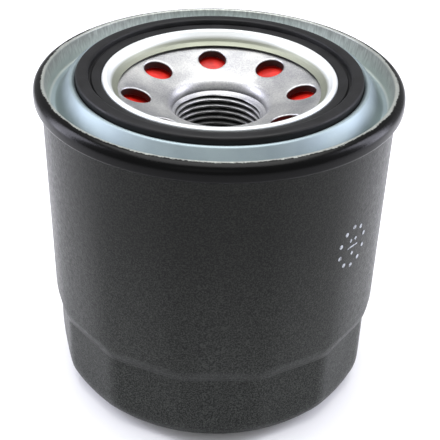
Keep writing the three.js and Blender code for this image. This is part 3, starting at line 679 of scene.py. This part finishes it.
def makeBasePlate():
    p = plate
    sector = 2 * math.pi / p["holes"]
    steps = p["holes"] * p["arcSteps"]
    start = math.radians(p["holePhase"]) - sector / 2
    angles = [start + 2 * math.pi * i / steps for i in range(steps)]
    shape = bmesh.new()

    def rings(path):
        addGrid(shape, [[(r * math.cos(a), r * math.sin(a), z) for a in angles] for r, z in path])

    webOuter = p["holeCircle"] + p["holeRadius"] + p["webOutside"]
    webInner = p["holeCircle"] - p["holeRadius"] - p["webInside"]
    rollTurn = (math.pi / 2 - math.atan(dishSlope)) / 2
    boreTop = dishAt(p["mouthEdge"]) - p["mouthRoll"] * math.tan(rollTurn) - p["mouthLip"]
    boreEnd = boxLevels("base_plate")[0]
    boreStart = p["threadRadius"] + p["boreRelief"]
    collarOuter = p["threadRadius"] + p["collarWall"]

    rings(roundedPath([
        (webOuter, dishAt(webOuter)),
        (dishOuter, plateTop, p["dishBend"]),
        (p["outer"], plateTop, p["edge"]),
        (p["outer"], plateTop - p["sheet"], p["edge"]),
        (dishOuter, plateTop - p["sheet"], p["dishBend"]),
        (webOuter, dishAt(webOuter) - p["sheet"]),
    ], 8))
    rings(roundedPath([
        (webInner, dishAt(webInner)),
        (p["mouthEdge"], dishAt(p["mouthEdge"]), p["mouthRoll"]),
        (p["mouthEdge"], boreTop),
    ], 7))
    rings(roundedPath([
        (boreStart, boreEnd),
        (collarOuter, boreEnd, p["collarEdge"]),
        (collarOuter, dishAt(collarOuter) - p["sheet"], p["underRoll"]),
        (webInner, dishAt(webInner) - p["sheet"]),
    ], 9))

    # Right-hand internal thread: the bore's radius follows a helix, opened by a chamfer at each end.
    rows = []
    count = p["threads"] * p["levelsPerTurn"]
    for k in range(count + 1):
        z = boreTop + (boreEnd - boreTop) * k / count
        row = []
        for a in angles:
            across = abs(((z / p["pitch"] - a / (2 * math.pi)) % 1.0) - 0.5)
            share = max(0.0, min(1.0, (across - p["crestFlat"]) / p["flankRun"]))
            bore = max(p["threadRadius"] - p["threadDepth"] * share,
                       p["mouthEdge"] - (boreTop - z) * p["chamferSlope"],
                       boreStart - (z - boreEnd) * p["chamferSlope"])
            row.append((bore * math.cos(a), bore * math.sin(a), z))
        rows.append(row)
    addGrid(shape, rows)

    # The web round each inlet hole: loops run from the sector's edge in to the punched hole.
    for hole in range(p["holes"]):
        middle = math.radians(p["holePhase"]) + sector * hole
        centre = Vector((p["holeCircle"] * math.cos(middle), p["holeCircle"] * math.sin(middle)))
        edge = []
        for i in range(p["arcSteps"]):
            edge.append((webInner, middle - sector / 2 + sector * i / p["arcSteps"]))
        for i in range(p["sideSteps"]):
            edge.append((webInner + (webOuter - webInner) * i / p["sideSteps"], middle + sector / 2))
        for i in range(p["arcSteps"]):
            edge.append((webOuter, middle + sector / 2 - sector * i / p["arcSteps"]))
        for i in range(p["sideSteps"]):
            edge.append((webOuter - (webOuter - webInner) * i / p["sideSteps"], middle - sector / 2))
        edge = [Vector((r * math.cos(a), r * math.sin(a))) for r, a in edge]
        spokes = [(point - centre).normalized() for point in edge]

        def loop(share, radius, depth=0.0):
            points = []
            for point, spoke in zip(edge, spokes):
                flat = (centre + spoke * radius).lerp(point, share)
                points.append((flat.x, flat.y, dishAt(flat.length) - depth))
            return points

        lip, burr = p["holeRadius"] + p["holeRound"], p["holeRadius"] + p["burr"]
        loops = [loop(share, lip) for share in (1.0, 0.7, 0.4, 0.15, 0.0)]
        for turn in (math.radians(18 * k) for k in range(1, 6)):
            sunk = p["holeRound"] * (1 - math.cos(turn))
            loops.append(loop(0.0, lip - p["holeRound"] * math.sin(turn), sunk))
        loops.append(loop(0.0, p["holeRadius"], p["sheet"] - p["burr"]))
        loops += [loop(share, burr, p["sheet"]) for share in (0.0, 0.3, 0.65, 1.0)]
        addGrid(shape, loops)

    piece = finishMesh("base_plate_pressing", shape, "housing", plateSteel)
    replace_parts(piece, "base_plate")


makeBasePlate()
print("base plate made")


# The anti-drain valve: a neck round the plate's collar and a thin flap under the inlet holes.
drain = dict(neckWall=2.6, neckHeight=4.4, neckChamfer=0.6, flap=1.1, lap=5.6, rise=0.06, edge=0.2,
             corner=0.3, footProud=0.6, footHeight=1.4, footTaper=0.6, footRound=0.35, footBend=0.4,
             rootDrop=0.5, rootBend=0.9, throatBend=1.0, flapBend=2.0, lipUnder=0.6, lipBevel=0.5,
             lipDrop=0.3, lipTaper=0.9, blendBelow=0.2, blendAbove=1.4, aroundSteps=128)


def flapFace(radius):
    # The flap's upper face, which nears the plate towards its lip.
    tip = plate["holeCircle"] + plate["holeRadius"] + drain["lap"]
    return dishAt(radius) - plate["sheet"] - fit - drain["rise"] * (tip - radius)


def makeDrainValve():
    d = drain
    inner = plate["threadRadius"] + plate["collarWall"] + fit
    outer = inner + d["neckWall"]
    low = boxLevels("anti_drain_valve")[0]
    neckTop = low + d["neckHeight"]
    tip = plate["holeCircle"] + plate["holeRadius"] + d["lap"]
    middle = (outer + tip) / 2
    foot = outer + d["footProud"]
    outline = roundedPath([
        (inner, low, d["edge"]),
        (foot, low, d["footRound"]),
        (foot, low + d["footHeight"], d["footBend"]),
        (outer, low + d["footHeight"] + d["footTaper"], d["footBend"]),
        (outer, flapFace(outer) - d["flap"] - d["rootDrop"], d["rootBend"]),
        (middle, flapFace(middle) - d["flap"]),
        (dishOuter, flapFace(dishOuter) - d["flap"], d["flapBend"]),
        (tip - d["lipUnder"], flapFace(tip) - d["flap"], d["corner"]),
        (tip, flapFace(tip) - d["flap"] + d["lipBevel"], d["edge"]),
        (tip, flapFace(tip) - d["lipDrop"], d["edge"]),
        (tip - d["lipTaper"], flapFace(tip), d["footBend"]),
        (dishOuter, flapFace(dishOuter), d["flapBend"]),
        (middle, flapFace(middle)),
        (outer, flapFace(outer), d["throatBend"]),
        (inner + d["neckChamfer"], neckTop, d["corner"]),
        (inner, neckTop - d["neckChamfer"], d["corner"]),
        (inner, (low + neckTop) / 2),
    ], 15)
    shape = turned(outline, d["aroundSteps"])
    piece = finishMesh("anti_drain_valve_rubber", shape, None, redRubber, 60)
    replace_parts(piece, "anti_drain_valve", "anti_drain_lip")
    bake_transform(piece)


makeDrainValve()
print("anti-drain valve made")


# The filter element's end caps and rings.
element = dict(capSheet=0.5, capBend=0.7, topHole=13.3, topCollar=2.6, bottomHole=6.0, ringEdge=0.15,
               aroundSteps=128)


def extent(node):
    # Outer radius, lowest and highest level of a turned node.
    low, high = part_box(node)
    return high.y / mm, low.z / mm, high.z / mm


def turnedPiece(node, name, corners, body, material, edgeStep=15):
    shape = turned(roundedPath(corners, edgeStep), element["aroundSteps"])
    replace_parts(finishMesh(name, shape, body, material), node)


def makeEndCap(node, name, side, hole, collar):
    # side is 1 where the flange points up and -1 where it points down.
    radius, low, high = extent(node)
    half = element["capSheet"] / 2
    level, edge = (low + half, high) if side > 0 else (high - half, low)
    bend = element["capBend"]
    centre = [(hole, level)]
    if collar:
        centre = [(hole + half, level + side * collar), (hole + half, level, bend)]
    path = roundedPath([*centre, (radius - half, level, bend), (radius - half, edge)])
    shape = turned(sheetSection(path, element["capSheet"]), element["aroundSteps"])
    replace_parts(finishMesh(name, shape, "element", tin), node)


def makeRing(node, name, inner, body, material):
    # A plain ring with its four edges rounded.
    radius, low, high = extent(node)
    edge = element["ringEdge"]
    middle = (inner + radius) / 2
    corners = [(middle, low), (radius, low, edge), (radius, high, edge), (inner, high, edge),
               (inner, low, edge), (middle - edge, low)]
    turnedPiece(node, name, corners, body, material)


# The bypass valve's seat and disc. The seal laps inside the port.
bypass = dict(port=5.4, seatSheet=0.8, seatEdge=0.1, crownReach=0.9, crownHalf=0.28, crownBend=0.25,
              crownTip=0.15, portBend=0.2, discSheet=0.8, discEdge=0.2, bossRadius=4.2, bossTaper=0.3,
              bossBend=0.3, bossEdge=0.4, centre=0.001, sealLap=1.6)


def makeBypassSeat():
    b = bypass
    radius, low, high = extent("bypass_seat")
    face = low + b["seatSheet"]
    crown = b["port"] + b["crownReach"]
    middle = (b["port"] + radius) / 2
    turnedPiece("bypass_seat", "bypass_seat_pressing", [
        (middle, low),
        (radius, low, b["seatEdge"]),
        (radius, face, b["seatEdge"]),
        (crown + b["crownReach"], face, b["crownBend"]),
        (crown + b["crownHalf"], high, b["crownTip"]),
        (crown - b["crownHalf"], high, b["crownTip"]),
        (b["port"], face, b["portBend"]),
        (b["port"], low, b["crownTip"]),
        (middle - b["seatSheet"], low),
    ], "element", tempered)


def makeBypassDisc():
    b = bypass
    radius, low, high = extent("bypass_disc")
    face = low + b["discSheet"]
    shape = turned(roundedPath([
        (b["centre"], low),
        (radius, low, b["discEdge"]),
        (radius, face, b["discEdge"]),
        (b["bossRadius"], face, b["bossBend"]),
        (b["bossRadius"] - b["bossTaper"], high, b["bossEdge"]),
        (b["centre"], high),
    ], 15), element["aroundSteps"], closed=False)
    for level in (low, high):
        ends = [v for v in shape.verts
                if v.co.xy.length < 2 * b["centre"] * mm and abs(v.co.z / mm - level) < b["centre"]]
        bmesh.ops.pointmerge(shape, verts=ends, merge_co=(0, 0, level * mm))
    piece = finishMesh("bypass_disc_pressing", shape, "bypass_poppet", tempered)
    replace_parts(piece, "bypass_disc")


# Both ends are closed: a share of the coil's turns lies flat, and the pitch eases in after them.
coil = dict(wire=1.0, turns=5, closedShare=0.12, closedPitch=1.05, easing=0.35, wireSides=12,
            stepsPerTurn=40)


def makeBypassSpring():
    radius, low, high = extent("bypass_spring")
    wire = coil["wire"]
    middle = radius - wire / 2
    share = coil["closedShare"]
    ends = share * coil["turns"] * wire * coil["closedPitch"]
    steps = coil["turns"] * coil["stepsPerTurn"]
    sides = [2 * math.pi * k / coil["wireSides"] for k in range(coil["wireSides"])]
    shape = bmesh.new()
    rows = []
    for i in range(steps + 1):
        t = i / steps
        climb = max(0.0, min(1.0, (t - share) / (1 - 2 * share)))
        climb += (climb * climb * (3 - 2 * climb) - climb) * coil["easing"]
        closed = (min(t, share) + max(0.0, t - (1 - share))) / share
        level = low + wire / 2 + ends * closed + (high - low - wire - 2 * ends) * climb
        turn = Matrix.Rotation(2 * math.pi * coil["turns"] * t, 3, "Z")
        rows.append([turn @ Vector((middle + wire / 2 * math.cos(a), 0, level + wire / 2 * math.sin(a)))
                     for a in sides])
    made = addGrid(shape, rows)
    shape.faces.new(made[0])
    shape.faces.new(made[-1])
    piece = finishMesh("bypass_coil", shape, None, tempered)
    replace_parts(piece, "bypass_spring")
    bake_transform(piece)


makeEndCap("top_end_cap", "top_end_cap_pressing", -1, element["topHole"], element["topCollar"])
makeEndCap("bottom_end_cap", "bottom_end_cap_pressing", 1, element["bottomHole"], 0)
pottingInner = extent("centre_tube")[0] + fit
makeRing("top_potting", "top_potting_ring", pottingInner, "element", plastisol)
makeRing("bottom_potting", "bottom_potting_ring", pottingInner, "element", plastisol)
sealInner = bypass["port"] - bypass["sealLap"]
makeRing("bypass_seal", "bypass_seal_ring", sealInner, "bypass_poppet", nitrile)
makeBypassSeat()
makeBypassDisc()
makeBypassSpring()


# The leaf spring under the element, turned by half a flat; phase is in degrees.
leaf = dict(hubInner=7.6, hubWidth=5.6, sheet=0.8, width=9.0, reach=13.0, bend=2.4, pad=3.0, toe=1.2,
            edge=0.12, count=4, phase=180 / canister["flatCount"], footZone=1.6)


def joined(pieces):
    # Solids joined into one mesh, so that no wall is left inside.
    base = pieces[0]
    for other in pieces[1:]:
        union = base.modifiers.new("join", "BOOLEAN")
        union.operation = "UNION"
        union.solver = "EXACT"
        union.object = other
    whole = bmesh.new()
    whole.from_object(base, bpy.context.evaluated_depsgraph_get())
    for piece in pieces:
        mesh = piece.data
        bpy.data.objects.remove(piece)
        bpy.data.meshes.remove(mesh)
    return whole


def looseSolid(shape):
    bmesh.ops.recalc_face_normals(shape, faces=shape.faces)
    mesh = bpy.data.meshes.new("loose")
    shape.to_mesh(mesh)
    shape.free()
    solid = bpy.data.objects.new("loose", mesh)
    scene.collection.objects.link(solid)
    return solid


def makeSupportSpring():
    # A hub ring under the element with four sprung leaves that stand on the closed end.
    low, high = boxLevels("support_spring")
    f = leaf
    half, edge = f["sheet"] / 2, f["edge"]
    hubOuter = f["hubInner"] + f["hubWidth"]
    middle = (f["hubInner"] + hubOuter) / 2
    hub = turned(roundedPath([
        (middle, high), (f["hubInner"], high, edge), (f["hubInner"], high - f["sheet"], edge),
        (hubOuter, high - f["sheet"], edge), (hubOuter, high, edge), (middle + f["sheet"], high),
    ], 30), element["aroundSteps"])
    pieces = [looseSolid(hub)]
    foot = low + half
    path = roundedPath([
        (middle, high - half), (hubOuter + f["sheet"], high - half, f["bend"]),
        (hubOuter + f["reach"] - f["pad"], foot, f["bend"]), (hubOuter + f["reach"], foot, f["bend"] / 2),
        (hubOuter + f["reach"] + f["toe"], foot + f["toe"]),
    ], 6)
    across = f["width"] / 2
    section = [(across - edge, half), (across, half - edge), (across, edge - half), (across - edge, -half),
               (edge - across, -half), (-across, edge - half), (-across, half - edge), (edge - across, half)]
    for i in range(f["count"]):
        angle = 2 * math.pi * i / f["count"] + math.radians(f["phase"])
        turn = Matrix.Rotation(angle, 3, "Z")
        lines = [(side, offsetPath(path, out)) for side, out in section]
        shape = bmesh.new()
        made = addGrid(shape, [[turn @ Vector((line[k].x, side, line[k].y)) for side, line in lines]
                               for k in range(len(path))])
        shape.faces.new(made[0])
        shape.faces.new(made[-1])
        pieces.append(looseSolid(shape))
    piece = finishMesh("support_leaf_spring", joined(pieces), None, tempered)
    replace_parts(piece, "support_spring")
    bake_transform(piece)


makeSupportSpring()
print("springs and valve parts made")

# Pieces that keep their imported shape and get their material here.
carried = {"seam_compound": liningCompound, "pleated_media": paper, "media_clip": tin, "centre_tube": tin,
           "bypass_cage": tin}
for node, material in carried.items():
    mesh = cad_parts[node].data
    mesh.materials.clear()
    mesh.materials.append(material)
print("inner pieces finished")


# The printed mark; azimuth is in degrees, and level is its middle.
stamp = dict(azimuth=-41.6, level=47.8, dots=10, ringAcross=4.1, ringTall=4.8, dotRadius=0.52, barLength=3.4,
             barWidth=0.4, diamond=0.5, proud=0.03)


def makeStamp():
    # A generic inspection mark: a bar and three diamonds in a ring of dots, with no lettering.
    m = stamp
    shape = bmesh.new()
    radius = wallRadius + m["proud"]

    def outline(points):
        # Distances across and along the wall, wrapped round it.
        face = []
        for across, along in points:
            angle = math.radians(m["azimuth"]) + across / radius
            place = Vector((radius * math.cos(angle), radius * math.sin(angle), m["level"] + along))
            face.append(shape.verts.new(place * mm))
        shape.faces.new(face)

    def blob(across, along, size, sides=12):
        turns = [2 * math.pi * i / sides for i in range(sides)]
        outline([(across + size * math.cos(t), along + size * math.sin(t)) for t in turns])

    for i in range(m["dots"]):
        turn = 2 * math.pi * (i + 0.5) / m["dots"]
        blob(m["ringAcross"] * math.cos(turn), m["ringTall"] * math.sin(turn), m["dotRadius"])
    long, wide = m["barLength"] / 2, m["barWidth"] / 2
    outline([(-long, -wide), (long, -wide), (long, wide), (-long, wide)])
    for across, along in ((-0.8, long), (0.8, long), (0.0, -long)):
        blob(across, along, m["diamond"], 4)
    mesh = bpy.data.meshes.new("ink_stamp")
    shape.to_mesh(mesh)
    shape.free()
    mesh.materials.append(ink)
    piece = bpy.data.objects.new("ink_stamp", mesh)
    scene.collection.objects.link(piece)
    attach(piece, "housing")


makeStamp()
print("stamp made")


# The floor lies just under the closed end, so that the two faces never share a plane.
studio = dict(floor="#f4f4f6", floorCloudMm=120.0, floorBelow=0.03, floorReach=3000.0, sky="#fbfcff",
              skyStrength=0.5, topPower=3.2, sidePower=2.2, sideColour="#efefff", frontPower=0.15,
              aimLevel=45.0)


def makeStudio():
    material, tree, shader, place = startMaterial("white_sweep_paper")
    cloud = addNode(tree, "TexNoise", {"Vector": place, "Scale": perMetre(studio["floorCloudMm"]),
                                       "Detail": 2.0})
    colour = addNode(tree, "Mix", {0: cloud, 6: studio["floor"], 7: "#ffffff"}, colourMix, 2)
    setInputs(tree, shader, {"Base Color": colour, "Roughness": 0.9})
    shape = bmesh.new()
    corners = ((-1, -1, 0), (1, -1, 0), (1, 1, 0), (-1, 1, 0))
    shape.faces.new([shape.verts.new(Vector(corner) * studio["floorReach"] * mm) for corner in corners])
    mesh = bpy.data.meshes.new("floor")
    shape.to_mesh(mesh)
    shape.free()
    mesh.materials.append(material)
    floor = bpy.data.objects.new("floor", mesh)
    floor.location.z = -studio["floorBelow"] * mm
    scene.collection.objects.link(floor)

    world = bpy.data.worlds.new("studio")
    scene.world = world
    world.use_nodes = True
    background = world.node_tree.nodes["Background"]
    background.inputs["Color"].default_value = toLinear(studio["sky"])
    background.inputs["Strength"].default_value = studio["skyStrength"]

    aim = Vector((0, 0, studio["aimLevel"]))

    def softbox(name, place, size, power, colour="#ffffff"):
        data = bpy.data.lights.new(name, "AREA")
        data.shape = "RECTANGLE"
        data.size, data.size_y = (s * mm for s in size)
        data.energy = power
        data.color = toLinear(colour)[:3]
        light = bpy.data.objects.new(name, data)
        light.location = Vector(place) * mm
        light.rotation_euler = (aim - Vector(place)).to_track_quat("-Z", "Y").to_euler()
        scene.collection.objects.link(light)

    softbox("top_softbox", (0, 60, 520), (500, 400), studio["topPower"])
    softbox("left_softbox", (-420, 60, 200), (160, 420), studio["sidePower"], studio["sideColour"])
    softbox("right_softbox", (440, 80, 200), (160, 420), studio["sidePower"], studio["sideColour"])
    softbox("front_softbox", (-60, -520, 420), (400, 260), studio["frontPower"])
    scene.view_settings.view_transform = "Standard"


makeStudio()
print("studio made")
